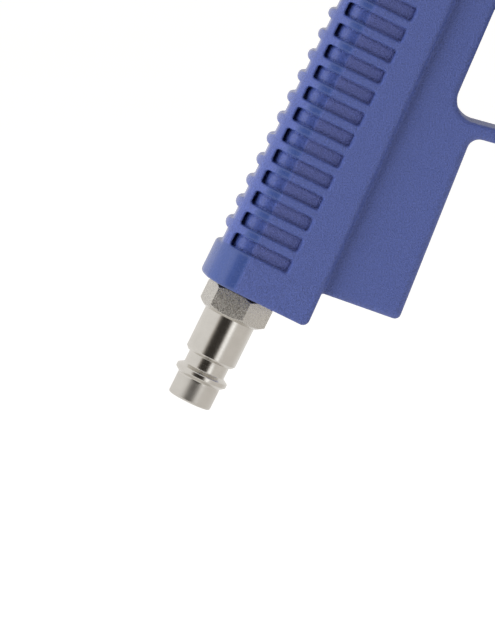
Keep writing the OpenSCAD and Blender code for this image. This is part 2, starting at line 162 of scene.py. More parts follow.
def less(a, b, r=0.0):
    return both(a, -b, r)


def band(v, low, high):
    """Between two parallel planes."""
    return np.abs(v - (low + high) / 2) - (high - low) / 2


def oblong(a, b, low_a, high_a, low_b, high_b, r):
    """A rectangle with rounded corners."""
    qa, qb = band(a, low_a, high_a) + r, band(b, low_b, high_b) + r
    outside = np.sqrt(np.maximum(qa, 0) ** 2 + np.maximum(qb, 0) ** 2)
    return outside + np.minimum(np.maximum(qa, qb), 0) - r


def disc(a, b, centre, r):
    return np.sqrt((a - centre[0]) ** 2 + (b - centre[1]) ** 2) - r


def inset(corners, r):
    """An outline whose sides have moved in by r; its corners run anticlockwise."""
    moved = []
    n = len(corners)
    for i in range(n):
        before, here, after = (Vector(corners[(i + k) % n]) for k in (-1, 0, 1))
        a, b = (here - before).normalized(), (after - here).normalized()
        na, nb = Vector((-a.y, a.x)), Vector((-b.y, b.x))
        moved.append(tuple(here + (na + nb) * (r / (1 + na.dot(nb)))))
    return moved


def outline(a, b, corners, r=0.0):
    """A closed outline of straight sides, with outer corners rounded to radius r."""
    corners = inset(corners, r) if r else list(corners)
    shape = np.broadcast(a, b).shape
    nearest = np.full(shape, 1e9, np.float32)
    inside = np.zeros(shape, bool)
    for (a0, b0), (a1, b1) in zip(corners, corners[1:] + corners[:1]):
        da, db = a1 - a0, b1 - b0
        t = np.clip(((a - a0) * da + (b - b0) * db) / (da * da + db * db), 0, 1)
        nearest = np.minimum(nearest, (a - a0 - t * da) ** 2 + (b - b0 - t * db) ** 2)
        if db:
            inside ^= ((b0 > b) != (b1 > b)) & (a < a0 + (b - b0) * da / db)
    return np.sqrt(nearest) * np.where(inside, -1, 1) - r


def skin(field, block):
    """Vertices and quads of a field's zero surface: one vertex in each cell that it crosses."""
    inside = field < 0
    count = np.zeros([n - 1 for n in field.shape], np.uint8)
    shifts = [(i, j, k) for i in (0, 1) for j in (0, 1) for k in (0, 1)]
    nx, ny, nz = count.shape
    for i, j, k in shifts:
        count += inside[i : i + nx, j : j + ny, k : k + nz]
    crossed = (count > 0) & (count < 8)
    cells = np.argwhere(crossed)
    number = np.full(crossed.shape, -1, np.int32)
    number[crossed] = np.arange(len(cells))
    values = [field[cells[:, 0] + i, cells[:, 1] + j, cells[:, 2] + k] for i, j, k in shifts]
    total = np.zeros((len(cells), 3))
    hits = np.zeros(len(cells))
    for p, a in enumerate(shifts):
        for q in range(p + 1, 8):
            b = shifts[q]
            if sum(abs(a[n] - b[n]) for n in range(3)) != 1:
                continue
            va, vb = values[p], values[q]
            hit = (va < 0) != (vb < 0)
            t = np.where(hit, va / np.where(hit, va - vb, 1), 0)
            for n in range(3):
                total[:, n] += np.where(hit, a[n] + t * (b[n] - a[n]), 0)
            hits += hit
    points = block.low + block.step * (cells + total / hits[:, None])
    quads = []
    for axis in range(3):
        one, two = [n for n in range(3) if n != axis]
        here = np.moveaxis(inside, (axis, one, two), (0, 1, 2))
        cell = np.moveaxis(number, (axis, one, two), (0, 1, 2))
        low, high = here[:-1, 1:-1, 1:-1], here[1:, 1:-1, 1:-1]
        at = np.argwhere(low != high)
        leaving = low[low != high]
        i, j, k = at[:, 0], at[:, 1], at[:, 2]
        ring = np.stack(
            [cell[i, j, k], cell[i, j + 1, k], cell[i, j + 1, k + 1], cell[i, j, k + 1]],
            1,
        )
        outward = leaving if axis != 1 else ~leaving
        ring[~outward] = ring[~outward][:, ::-1]
        quads.append(ring)
    return settle(points, field, block), np.concatenate(quads)


def settle(points, field, block, rounds=2):
    """Moves points onto the zero surface, along the field's slope."""
    top = np.array(field.shape) - 2
    for _ in range(rounds):
        at = (points - block.low) / block.step
        cell = np.clip(np.floor(at).astype(int), 0, top)
        f = at - cell
        corner = {
            (i, j, k): field[cell[:, 0] + i, cell[:, 1] + j, cell[:, 2] + k]
            for i in (0, 1)
            for j in (0, 1)
            for k in (0, 1)
        }
        weight = [(1 - f[:, n], f[:, n]) for n in range(3)]
        value = sum(
            v * weight[0][i] * weight[1][j] * weight[2][k]
            for (i, j, k), v in corner.items()
        )
        slope = np.stack(
            [
                sum(
                    v
                    * (1 if c[n] else -1)
                    * np.prod([weight[m][c[m]] for m in range(3) if m != n], axis=0)
                    for c, v in corner.items()
                )
                for n in range(3)
            ],
            1,
        )
        length2 = np.maximum((slope**2).sum(1), 0.05)
        move = -(value / length2)[:, None] * slope
        points = points + np.clip(move, -0.5, 0.5) * block.step
    return points


# ---- meshes ----


def new_mesh(name, points, faces, matrix=None):
    """A mesh object from points in millimetres, moved by matrix, in metres."""
    points = np.asarray(points, float)
    if matrix is not None:
        m = np.array(matrix, float)
        points = points @ m[:3, :3].T + m[:3, 3]
    mesh = bpy.data.meshes.new(name)
    if isinstance(faces, np.ndarray):
        mesh.vertices.add(len(points))
        mesh.vertices.foreach_set("co", (points * MM).astype(np.float32).ravel())
        mesh.loops.add(faces.size)
        mesh.loops.foreach_set("vertex_index", faces.astype(np.int32).ravel())
        mesh.polygons.add(len(faces))
        mesh.polygons.foreach_set(
            "loop_start", np.arange(0, faces.size, faces.shape[1], dtype=np.int32)
        )
        mesh.update(calc_edges=True)
        mesh.validate()
    else:
        mesh.from_pydata([tuple(p * MM) for p in points], [], faces)
        mesh.update()
    mesh.shade_smooth()
    obj = bpy.data.objects.new(name, mesh)
    bpy.context.scene.collection.objects.link(obj)
    return obj


def applied(obj):
    """Replaces an object's mesh by what its modifiers make of it."""
    graph = bpy.context.evaluated_depsgraph_get()
    mesh = bpy.data.meshes.new_from_object(obj.evaluated_get(graph))
    obj.modifiers.clear()
    obj.data = mesh
    return obj


def thinned(obj, triangles):
    """Fewer faces where the surface is flat, and normals that follow the larger faces."""
    have = sum(len(p.vertices) - 2 for p in obj.data.polygons)
    if have > triangles:
        fewer = obj.modifiers.new("fewer", "DECIMATE")
        fewer.ratio = triangles / have
        applied(obj)
        obj.data.shade_smooth()
    weighted = obj.modifiers.new("weighted", "WEIGHTED_NORMAL")
    weighted.weight = 60
    weighted.keep_sharp = False
    return obj


def moulded(name, field, block, triangles):
    """A mesh of the field, with no more than that many triangles."""
    points, quads = skin(field, block)
    return thinned(new_mesh(name, points, quads), triangles)


def rounded_corners(corners, steps=5):
    """A half section whose corners are (z, r) or (z, r, rounding): the points along it."""
    points = []
    n = len(corners)
    for i in range(n):
        here = Vector(corners[i][:2])
        r = corners[i][2] if len(corners[i]) > 2 else 0.0
        if not r:
            points.append(tuple(here))
            continue
        back = (Vector(corners[i - 1][:2]) - here).normalized()
        on = (Vector(corners[(i + 1) % n][:2]) - here).normalized()
        half = back.angle(on) / 2
        reach = r / math.tan(half)
        start, end = here + back * reach, here + on * reach
        centre = here + (back + on).normalized() * (r / math.sin(half))
        a0 = math.atan2(*(start - centre).yx)
        turn = math.atan2(*(end - centre).yx) - a0
        turn = (turn + math.pi) % (2 * math.pi) - math.pi
        for k in range(steps + 1):
            a = a0 + turn * k / steps
            points.append((centre.x + r * math.cos(a), centre.y + r * math.sin(a)))
    return points


def swept(corners, segments=96, shape=None, start=0.0):
    """Points and faces of a closed half section turned round local Z.

    shape(z, r, angle) may change the radius.
    """
    section = rounded_corners(corners)
    points, faces, rows = [], [], []
    for z, r in section:
        if r < 1e-6:
            rows.append([len(points)] * segments)
            points.append((0, 0, z))
            continue
        rows.append(list(range(len(points), len(points) + segments)))
        for k in range(segments):
            a = start + 2 * math.pi * k / segments
            q = shape(z, r, a) if shape else r
            points.append((q * math.cos(a), q * math.sin(a), z))
    for one, two in zip(rows, rows[1:] + rows[:1]):
        for k in range(segments):
            m = (k + 1) % segments
            face = []
            for v in (one[k], one[m], two[m], two[k]):
                if v not in face:
                    face.append(v)
            if len(face) > 2:
                faces.append(face)
    return points, faces


def merged(parts):
    points, faces = [], []
    for p, f in parts:
        faces += [[v + len(points) for v in face] for face in f]
        points += list(p)
    return points, faces


def turned(name, matrix, corners, **how):
    """A turned piece. Its corners run so that the faces look outwards."""
    points, faces = swept(corners, **how)
    return outward(new_mesh(name, points, faces, matrix))


def outward(obj):
    """Makes every face look out of its solid, and splits the shading at its sharp edges."""
    import bmesh

    work = bmesh.new()
    work.from_mesh(obj.data)
    bmesh.ops.remove_doubles(work, verts=work.verts, dist=1e-7)
    bmesh.ops.recalc_face_normals(work, faces=work.faces)
    work.to_mesh(obj.data)
    work.free()
    obj.data.set_sharp_from_angle(angle=math.radians(32))
    return obj


def wire(path, r, sides=12):
    """A round wire along a path of points, with flat ends."""
    path = np.asarray(path, float)
    along = np.gradient(path, axis=0)
    along /= np.linalg.norm(along, axis=1)[:, None]
    points, faces = [], []
    side = np.cross(along[0], (0.0, 0.0, 1.0))
    for p, t in zip(path, along):
        side = side - t * side.dot(t)
        side /= np.linalg.norm(side)
        up = np.cross(t, side)
        for k in range(sides):
            a = 2 * math.pi * k / sides
            points.append(p + r * (math.cos(a) * side + math.sin(a) * up))
    for i in range(len(path) - 1):
        for k in range(sides):
            m = (k + 1) % sides
            a, b = i * sides, (i + 1) * sides
            faces.append([a + k, a + m, b + m, b + k])
    last = (len(path) - 1) * sides
    faces.append(list(range(sides))[::-1])
    faces.append([last + k for k in range(sides)])
    return points, faces


def coil(mid_r, wire_r, length, turns, closed_turns=1.0, steps=40):
    """A compression spring along local Z, whose end turns lie close together."""
    path = []
    pitch_closed = 2 * wire_r * 1.04
    open_turns = turns - 2 * closed_turns
    open_pitch = (length - 2 * closed_turns * pitch_closed) / open_turns
    for i in range(int(turns * steps) + 1):
        t = i / steps
        low = min(t, closed_turns) * pitch_closed
        middle = min(max(t - closed_turns, 0), open_turns) * open_pitch
        high = max(t - closed_turns - open_turns, 0) * pitch_closed
        a = 2 * math.pi * t
        path.append((mid_r * math.cos(a), mid_r * math.sin(a), low + middle + high))
    return wire(path, wire_r)


# ---- materials ----


class Shader:
    """A Principled material and short ways to add nodes to it."""

    def __init__(self, name, colour, roughness, metallic=0.0, **sockets):
        self.material = bpy.data.materials.new(name)
        self.material.use_nodes = True
        self.tree = self.material.node_tree
        self.main = self.tree.nodes["Principled BSDF"]
        self.set("Base Color", (*colour, 1.0))
        self.set("Roughness", roughness)
        self.set("Metallic", metallic)
        for socket, value in sockets.items():
            self.set(socket.replace("_", " "), value)
        self.place = self.node("ShaderNodeTexCoord").outputs["Object"]

    def set(self, socket, value):
        self.main.inputs[socket].default_value = value

    def node(self, kind, inputs=None, **fields):
        made = self.tree.nodes.new(kind)
        for field, value in fields.items():
            setattr(made, field, value)
        for socket, value in (inputs or {}).items():
            self.feed(made.inputs[socket], value)
        return made

    def feed(self, socket, value):
        if isinstance(value, bpy.types.NodeSocket):
            self.tree.links.new(value, socket)
        else:
            socket.default_value = value

    def maths(self, operation, *values):
        made = self.node("ShaderNodeMath", operation=operation)
        for socket, value in zip(made.inputs, values):
            self.feed(socket, value)
        return made.outputs[0]

    def noise(self, per_mm, detail=2.0, place=None, stretch=None):
        """Noise with that many features to a millimetre."""
        place = place or self.place
        if stretch:
            place = self.node(
                "ShaderNodeMapping", {"Vector": place, "Scale": stretch}
            ).outputs[0]
        made = self.node(
            "ShaderNodeTexNoise",
            {"Vector": place, "Scale": per_mm / MM, "Detail": detail, "Roughness": 0.55},
        )
        return made.outputs["Fac"]

    def remap(self, value, low, high, to_low, to_high, smooth=False):
        made = self.node(
            "ShaderNodeMapRange",
            {"Value": value, "From Min": low, "From Max": high, "To Min": to_low,
             "To Max": to_high},
            interpolation_type="SMOOTHSTEP" if smooth else "LINEAR",
        )
        return made.outputs["Result"]

    def mix(self, factor, one, two):
        made = self.node("ShaderNodeMix", data_type="RGBA")
        self.feed(made.inputs[0], factor)
        for socket, value in ((made.inputs[6], one), (made.inputs[7], two)):
            self.feed(socket, (*value, 1.0) if isinstance(value, tuple) else value)
        return made.outputs[2]

    def colour(self, value):
        self.feed(self.main.inputs["Base Color"], value)

    def rough(self, value):
        self.feed(self.main.inputs["Roughness"], value)

    def bump(self, height, depth_mm, strength=1.0):
        """Adds a relief of that depth to the surface."""
        made = self.node(
            "ShaderNodeBump",
            {"Height": height, "Strength": strength, "Distance": depth_mm * MM},
        )
        before = self.main.inputs["Normal"]
        if before.is_linked:
            self.feed(made.inputs["Normal"], before.links[0].from_socket)
        self.feed(self.main.inputs["Normal"], made.outputs[0])
        return made


def shades(colour, share):
    """The same colour, darker and lighter by that share."""
    return tuple(c * (1 - share) for c in colour), tuple(c * (1 + share) for c in colour)


POLISH_TOP = 82.0  # height on the grip where the polished back ends
BLUE = (0.054, 0.08, 0.26)
# a darker copy of BLUE for the polished back: painted shade for the dark room that it reflects
BLUE_POLISHED_SHADE = (0.04, 0.067, 0.212)
BLUE_POCKET = (0.07, 0.09, 0.27)


def blue_plastic():
    """Moulded blue: fine spark-eroded grain, a polished back painted a darker blue as shade, and
    dull pocket floors.
    """
    s = Shader("blue_plastic", BLUE, 0.5)
    in_grip = s.node("ShaderNodeMapping", {"Vector": s.place, "Rotation": (0, -RAKE, 0)})
    split = s.node("ShaderNodeSeparateXYZ", {"Vector": in_grip.outputs[0]})
    u, y, up = split.outputs
    w_top = (GRIP_BASE + POLISH_TOP) * MM
    behind = s.remap(u, (SIDE_U - 0.12) * MM, (SIDE_U + 0.12) * MM, 1.0, 0.0, True)
    on_grip = s.remap(up, w_top, w_top + 4 * MM, 1.0, 0.0, True)
    polished = s.maths("MULTIPLY", behind, on_grip)
    sunk = s.remap(
        s.maths("ABSOLUTE", y), (GRIP_HALF - 1.1) * MM, (GRIP_HALF - 0.7) * MM, 1.0, 0.0
    )
    in_pockets = s.maths(
        "MULTIPLY",
        s.remap(u, (POCKET_U[1] - 0.3) * MM, POCKET_U[1] * MM, 1.0, 0.0),
        s.remap(up, (GRIP_BASE + 8.6) * MM, (GRIP_BASE + 8.9) * MM, 0.0, 1.0),
    )
    floor = s.maths("MULTIPLY", s.maths("MULTIPLY", sunk, in_pockets), on_grip)
    polish_shade = s.maths("MULTIPLY", polished, s.maths("SUBTRACT", 1.0, floor))
    floor = s.maths("MULTIPLY", floor, s.maths("SUBTRACT", 1.0, polished))
    grain = s.noise(3.0, 2.0)
    dapple = s.noise(1.3, 2.0)
    dark, light = shades(BLUE, 0.2)
    base = s.mix(s.remap(grain, 0.35, 0.65, 0.0, 1.0), dark, light)
    # the polished back takes the darker blue: painted shade
    base = s.mix(polish_shade, base, BLUE_POLISHED_SHADE)
    dark, light = shades(BLUE_POCKET, 0.2)
    pocket = s.mix(s.remap(grain, 0.35, 0.65, 0.0, 1.0), dark, light)
    s.colour(s.mix(floor, base, pocket))
    gloss = s.remap(polished, 0.0, 1.0, 0.46, 0.27)
    s.rough(s.maths("ADD", gloss, s.remap(dapple, 0.3, 0.7, -0.04, 0.04)))
    textured = s.maths("SUBTRACT", 1.0, s.maths("MULTIPLY", polished, 0.99))
    s.bump(s.maths("MULTIPLY", grain, textured), 0.3)
    s.bump(s.maths("MULTIPLY", dapple, textured), 0.1)
    return s.material


def metal(name, colour, roughness, turned_along=None, grain=0.012):
    """Machined or drawn metal. turned_along is the scale that draws tool marks round an axis."""
    s = Shader(name, colour, roughness, 1.0)
    marks = s.noise(1.0, 3.0, stretch=turned_along or (0.4, 0.4, 6.0))
    cloud = s.noise(0.25, 3.0)
    dark, light = shades(colour, 0.07)
    s.colour(s.mix(cloud, dark, light))
    tooled = s.remap(marks, 0.3, 0.7, roughness - 0.04, roughness + 0.05)
    s.rough(s.maths("ADD", tooled, s.remap(cloud, 0.3, 0.7, -0.03, 0.03)))
    s.bump(marks, grain)
    return s.material


def plated_steel():
    """Satin nickel: fine turning marks, a duller nose, and pitted flats on the hexagon, with
    painted shade in the pits.
    """
    colour = (0.70, 0.68, 0.64)
    s = Shader("plated_steel", colour, 0.2, 1.0)
    in_grip = s.node(
        "ShaderNodeMapping",
        {"Vector": s.place, "Rotation": (0, -RAKE, 0)},
    ).outputs[0]
    up = s.node("ShaderNodeSeparateXYZ", {"Vector": in_grip}).outputs[2]
    marks = s.noise(1.0, 4.0, in_grip, stretch=(0.15, 0.15, 9.0))
    cloud = s.noise(0.35, 3.0, in_grip)
    pits = s.noise(3.0, 4.0, in_grip)
    hexagon = s.remap(up, (HEX_FOOT + 0.2) * MM, (HEX_FOOT + 0.7) * MM, 0.0, 1.0, True)
    nose = s.remap(up, 4.6 * MM, 5.4 * MM, 0.16, 0.0, True)
    dark, light = shades(colour, 0.08)
    # painted shade: the hexagon turns dark where its bump is lowest, in the pits
    pit_shade = s.maths("MULTIPLY", hexagon, s.remap(pits, 0.42, 0.58, 0.32, 0.0))
    s.colour(s.mix(pit_shade, s.mix(cloud, dark, light), (0.36, 0.34, 0.31)))
    turned_rough = s.maths("ADD", nose, s.remap(marks, 0.3, 0.7, 0.16, 0.26))
    pitted_rough = s.maths("MULTIPLY", hexagon, s.remap(pits, 0.3, 0.7, 0.0, 0.16))
    s.rough(s.maths("ADD", turned_rough, pitted_rough))
    s.bump(marks, 0.008)
    s.bump(s.maths("MULTIPLY", pits, hexagon), 0.14)
    return s.material


def soft_black(name, roughness, grain_mm, depth, colour=(0.018, 0.018, 0.02)):
    """Black moulding or rubber with a fine matt grain."""
    s = Shader(name, colour, roughness)
    grain = s.noise(1 / grain_mm, 3.0)
    dark, light = shades(colour, 0.3)
    s.colour(s.mix(s.noise(0.3, 2.0), dark, light))
    s.rough(s.remap(grain, 0.3, 0.7, roughness - 0.08, roughness + 0.08))
    s.bump(grain, depth)
    return s.material


def silicone():
    s = Shader("silicone", (0.5, 0.09, 0.05), 0.5, Subsurface_Weight=0.15)
    s.main.inputs["Subsurface Radius"].default_value = (0.004, 0.001, 0.0006)
    s.colour(s.mix(s.noise(0.5, 2.0), (0.44, 0.075, 0.04), (0.55, 0.11, 0.06)))
    s.bump(s.noise(3.0, 2.0), 0.02)
    return s.material


def glass():
    """Clear borosilicate with a little surface ripple."""
    s = Shader("glass", (0.97, 0.99, 0.985), 0.03, Transmission_Weight=1.0, IOR=1.47)
    s.rough(s.remap(s.noise(0.15, 3.0), 0.35, 0.75, 0.015, 0.06))
    s.bump(s.noise(0.08, 1.0), 0.02)
    return s.material


def felt():
    s = Shader("felt", (0.82, 0.8, 0.74), 0.95, Sheen_Weight=0.4)
    fibres = s.noise(1.4, 5.0, stretch=(1.0, 3.0, 1.0))
    s.colour(s.mix(fibres, (0.7, 0.68, 0.62), (0.9, 0.88, 0.83)))
    s.bump(fibres, 0.25)
    return s.material


def ptfe():
    """White PTFE: waxy, slightly translucent, with faint tool marks."""
    s = Shader("ptfe", (0.86, 0.85, 0.82), 0.36, Subsurface_Weight=0.25)
    s.main.inputs["Subsurface Radius"].default_value = (0.004, 0.0035, 0.003)
    marks = s.noise(1.0, 3.0, stretch=(7.0, 0.3, 0.3))
    s.colour(s.mix(s.noise(0.2, 3.0), (0.83, 0.82, 0.79), (0.9, 0.89, 0.86)))
    s.rough(s.remap(marks, 0.3, 0.7, 0.3, 0.42))
    s.bump(marks, 0.01)
    return s.material


def sintered():
    """Sintered bronze: small balls pressed together, painted darker towards the gaps between them
    as shade.
    """
    s = Shader("sintered_bronze", (0.45, 0.31, 0.18), 0.5, 1.0)
    balls = s.node(
        "ShaderNodeTexVoronoi", {"Vector": s.place, "Scale": 2.2 / MM}
    ).outputs["Distance"]
    # painted shade: each ball is light at its centre and dark towards the gaps, where the bump is
    # lowest
    s.colour(s.mix(balls, (0.55, 0.4, 0.24), (0.16, 0.1, 0.06)))
    s.bump(s.maths("SUBTRACT", 1.0, balls), 0.15)
    return s.material


def clear_tube():
    s = Shader("blue_tube", (0.05, 0.12, 0.36), 0.3, Transmission_Weight=0.3)
    s.colour(s.mix(s.noise(0.2, 2.0), (0.04, 0.1, 0.32), (0.06, 0.14, 0.4)))
    s.bump(s.noise(0.6, 2.0), 0.02)
    return s.material


ALONG_BARREL = (7.0, 0.25, 0.25)
MATERIALS = {
    "blue_plastic": blue_plastic(),
    "plated_steel": plated_steel(),
    "screw_steel": metal("screw_steel", (0.05, 0.05, 0.055), 0.34),
    "brass": metal("brass", (0.66, 0.5, 0.24), 0.26),
    "black_rubber": soft_black("black_rubber", 0.72, 0.35, 0.04, (0.012, 0.012, 0.012)),
    "blue_tube": clear_tube(),
    "spring_steel": metal("spring_steel", (0.5, 0.5, 0.52), 0.24),
    "black_plastic": soft_black("black_plastic", 0.48, 0.3, 0.05),
    "pin_steel": metal("pin_steel", (0.62, 0.62, 0.64), 0.18),
    "anodised_aluminium": metal("anodised_aluminium", (0.68, 0.69, 0.71), 0.3, ALONG_BARREL),
    "sintered_bronze": sintered(),
    "silicone": silicone(),
    "glass": glass(),
    "felt": felt(),
    "ptfe": ptfe(),
}
NODE_SLOT = {s["node"]: s["material_slot"] for s in frame["record"]["subparts"]}
NODE_BODY = {
    node: body
    for body, nodes in frame["record"]["behaviour"]["bodies"].items()
    for node in nodes
}


def dress(obj, node):
    """Puts a piece in place of a CAD node: same body, same slot, that slot's material."""
    name = NODE_SLOT[node]
    obj.data.materials.clear()
    obj.data.materials.append(MATERIALS[name])
    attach(obj, NODE_BODY[node])
    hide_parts(node)
    return obj


# ---- housing ----


def grip_section(b, inset_by=0.0):
    """Distance from the grip's cross-section: flat sides, and an elliptical back."""
    y = np.abs(b.y)
    back, half = ROUND_U - BACK_U - inset_by, GRIP_HALF - SHOULDER - inset_by
    du = np.minimum(b.u - ROUND_U, 0)
    k0 = np.sqrt((du / back) ** 2 + (y / half) ** 2)
    k1 = np.sqrt((du / back**2) ** 2 + (y / half**2) ** 2)
    rounded_back = k0 * (k0 - 1) / np.maximum(k1, 1e-6)
    raised = SHOULDER * np.clip((b.u - SIDE_U + 0.25) / 0.4, 0, 1)
    return np.where(du < 0, rounded_back, y - half - raised)


def grip_field(b):
    y = np.abs(b.y)
    section = grip_section(b)
    spine = both(section, SPINE_U - b.u, 0.5)
    k = np.clip(np.round((b.w - FIRST_POCKET) / PITCH), 0, POCKET_COUNT - 1)
    pocket_w = b.w - FIRST_POCKET - k * PITCH
    rib = np.clip(np.round((b.w - FIRST_POCKET) / PITCH - 0.5), 0, POCKET_COUNT)
    rib_w = b.w - FIRST_POCKET - (rib + 0.5) * PITCH
    bump = both(disc(b.u, rib_w, (BACK_U + 1.15, 0), 1.15), section, 0.1)
    foot_band = both(section, b.w - (FIRST_POCKET - POCKET_H / 2 - 0.35), 0.9)
    solid = either(spine, bump, 0.12)
    solid = either(solid, foot_band, 0.3)
    solid = np.where(b.w > FIRST_POCKET + POCKET_COUNT * PITCH, np.minimum(solid, section), solid)
    window = oblong(b.u, pocket_w, POCKET_U[0], POCKET_U[1], -POCKET_H / 2, POCKET_H / 2, 0.5)
    floor = grip_section(b, POCKET_DEEP)
    groove = both(-GROOVE - window, -floor - GROOVE_DEEP)
    gap = both(b.u - POCKET_U[0] - 0.5, -floor - 0.4)
    pocket = np.minimum(-floor, np.minimum(groove, gap))
    solid = less(solid, both(window, pocket, 0.1), 0.6)
    front = (b.u - (STEP_FOOT - STEP_LEAN * b.w)) * math.cos(math.atan(STEP_LEAN))
    ends = both(front, -b.w, 1.6)
    ends = both(ends, b.w - 100)
    return both(solid, ends, 1.0)


def plate_field(b, opening):
    """The front plate of the grip, with the root of the guard."""
    plate = outline(b.u, b.w, PLATE, 1.4)
    root = both(guard_strip(opening, 0, GUARD_T), band(b.x, 50, GUARD_X))
    side = less(either(plate, root, 2.4), opening)
    return both(side, np.abs(b.y) - PLATE_HALF, 1.5)


def guard_strip(opening, near, far):
    """A strip round the finger opening, between two distances from it."""
    return both(opening - far, near - opening)


def guard_field(b, opening):
    """The guard: a rounded strip with a tenon at its foot and a tongue at its top."""
    receiver = receiver_side(b)
    strip = both(guard_strip(opening, 0, GUARD_T), GUARD_X - b.x)
    strip = less(strip, both(b.x - GUARD_X - 19, 80 - b.z))
    strip = less(both(strip, b.z - CRADLE_Z[0]), receiver)
    strip = both(strip, np.abs(b.y) - GUARD_HALF, 1.3)
    tenon = guard_strip(opening, TENON_EDGE, GUARD_T - TENON_EDGE)
    tenon = both(tenon, band(b.x, GUARD_X - TENON_LONG, GUARD_X + 1))
    tenon = both(tenon, np.abs(b.y) - 5.5)
    tongue = both(band(b.x, *TONGUE_X), band(b.z, RECEIVER["z"][0] - 0.4, TONGUE_TOP))
    tongue = both(tongue, np.abs(b.y) - 2.7)
    return np.minimum(np.minimum(strip, tenon), tongue)


def receiver_side(b):
    (x0, x1), _, (z0, z1), _ = RECEIVER.values()
    corners = [(x0, z0 + 6), (x0 + 16, z0), (x1, z0), (x1, z1), (x0, z1)]
    return outline(b.x, b.z, corners, 5.0)


def receiver_field(b):
    (x0, x1), half, (z0, z1), corner = RECEIVER.values()
    section = oblong(b.y, b.z, -half, half, z0, z1, corner)
    solid = both(section, receiver_side(b), 1.6)
    panel = oblong(b.x, b.z, x0 + 9, x1 - 9, BARREL_Z - 9, BARREL_Z + 8, 3.5)
    sunk = both(panel, half - 0.7 - np.abs(b.y), 0.2)
    return less(solid, sunk, 0.4)


def eye_field(b):
    z_foot = RECEIVER["z"][1] - 3
    x_foot = RECEIVER["x"][0] + 5
    crown = [(EYE[0] + 5.5, EYE[1] + 4.4), (EYE[0] - 6.9, EYE[1] + 1)]
    fin = outline(b.x, b.z, [(x_foot, z_foot), (x_foot + 26, z_foot), *crown])
    side = np.minimum(fin, disc(b.x, b.z, EYE, 7.0))
    solid = both(side, np.abs(b.y) - 4, 1.4)
    return less(solid, disc(b.x, b.z, EYE, 4.0), 0.5)


def cradle_ears(b, gap=0.0):
    y = np.abs(b.y)
    x1, z0 = RECEIVER["x"][1], CRADLE_Z[0]
    ears = both(band(b.x, x1 - 6, x1 + 0.5), band(b.z, z0 - gap, z0 + 5.5 + gap))
    return both(ears, band(y, 5 - gap, 10 + gap))


def cradle_field(b):
    """The trough under the glass tube, and the ring round the front head."""
    y = np.abs(b.y)
    radius = np.sqrt(b.y**2 + (b.z - BARREL_Z) ** 2)
    trough = oblong(b.y, b.z, -14, 14, *CRADLE_Z, 2.5)
    trough = both(trough, band(b.x, RECEIVER["x"][1] + 0.05, RING_X[0] + 4))
    trough = less(trough, radius - TUBE_R - 0.5, 0.6)
    slots = oblong(b.x, b.z, 112, 148, CRADLE_Z[0] + 4, CRADLE_Z[1] - 4, 2.4)
    trough = less(trough, both(slots, 13.4 - y, 0.1), 0.3)
    ring = both(radius - RING_R, band(b.x, *RING_X), 1.6)
    foot = outline(b.x, b.z, [(150, 110), (152, 101.5), (170, 101.5), (174, 110)], 2.0)
    foot = both(foot, y - 10, 1.5)
    for x in (163.0, 167.0, 171.0):
        ring = less(ring, disc(b.x, radius, (x, RING_R + 0.3), 0.8), 0.2)
    solid = either(either(trough, ring, 1.2), foot, 1.0)
    solid = np.minimum(solid, cradle_ears(b))
    seat = np.minimum(
        both(radius - HEAD_R, band(b.x, RING_X[0] - 1, RING_X[1] + 1)),
        both(radius - COLLAR_R, band(b.x, 165, 168)),
    )
    return less(solid, seat, 0.15)


def cavity_field(b):
    """Room inside the shells, with saddles and screw bosses left standing."""
    y = np.abs(b.y)
    (x0, x1), half, (z0, z1), corner = RECEIVER.values()
    grip = both(grip_section(b, POCKET_DEEP + 2), band(b.u, -9, 12))
    grip = both(grip, band(b.w, 16, 73.5), 1.0)
    valve = both(grip_section(b, POCKET_DEEP + 2), band(b.w, VALVE_W - 11, VALVE_W + 11))
    valve = both(band(b.u, *VALVE_U), valve, 0.8)
    plate = outline(
        b.u, b.w, [(8, 16), (30.3, 13.4), (27, 54), (23.8, 55), (19.3, 66), (8, 66)], 1.0
    )
    plate = both(plate, y - (PLATE_HALF - WALL), 1.0)
    barrel = oblong(b.y, b.z, WALL - half, half - WALL, z0 + WALL, z1 - WALL, corner - WALL)
    barrel = both(barrel, band(b.x, x0 + 4, x1 - 6), 0.5)
    barrel = both(barrel, receiver_side(b) + WALL, 0.5)
    room = np.minimum(np.minimum(grip, valve), np.minimum(plate, barrel))
    for kind, (a, c), _ in SCREWS[1:4]:
        place = (b.u, b.w) if kind == "grip" else (b.x, b.z)
        room = less(room, disc(*place, (a, c), 3.0), 0.3)
    for u in (-5.5, 16):
        room = less(room, both(band(b.u, u, u + 2), band(b.w, VALVE_W - 8, VALVE_W + 4)))
    for x in (66, 92):
        room = less(room, both(band(b.x, x, x + 2), band(b.z, z0, z1)))
    return room


def seats_field(b):
    """Seats for the parts that the shells hold, and the trigger's slot."""
    y = np.abs(b.y)
    r_plug = np.sqrt(b.u**2 + b.y**2)
    r_valve = np.sqrt((b.w - VALVE_W) ** 2 + b.y**2)
    r_barrel = np.sqrt(b.y**2 + (b.z - BARREL_Z) ** 2)
    cuts = [
        both(r_plug - BUSH_R, band(b.w, -1, 16.1)),
        both(r_plug - BUSH_R - 0.8, band(b.w, 12.4, 15)),
        both(r_valve - VALVE_R, band(b.u, *VALVE_U)),
        both(r_valve - 2.3, band(b.u, 19, 26)),
        both(
            np.sqrt((b.u - 14.5) ** 2 + b.y**2) - 3.2,
            band(b.w, VALVE_W + 6.2, VALVE_W + 25.2),
        ),
        both(disc(b.u, b.w, PIN_AT, 1.5), y - 13),
        both(r_barrel - TUBE_R - 2, band(b.x, 62, 98)),
        both(r_barrel - TUBE_R - 0.1, band(b.x, 97, 105)),
        both(r_barrel - 8, band(b.x, 25, 31)),
        both(band(b.x, 72.5, 91.5), both(band(b.z, 98, 110.6), y - 4.4)),
    ]
    room = cuts[0]
    for cut in cuts[1:]:
        room = np.minimum(room, cut)
    return room


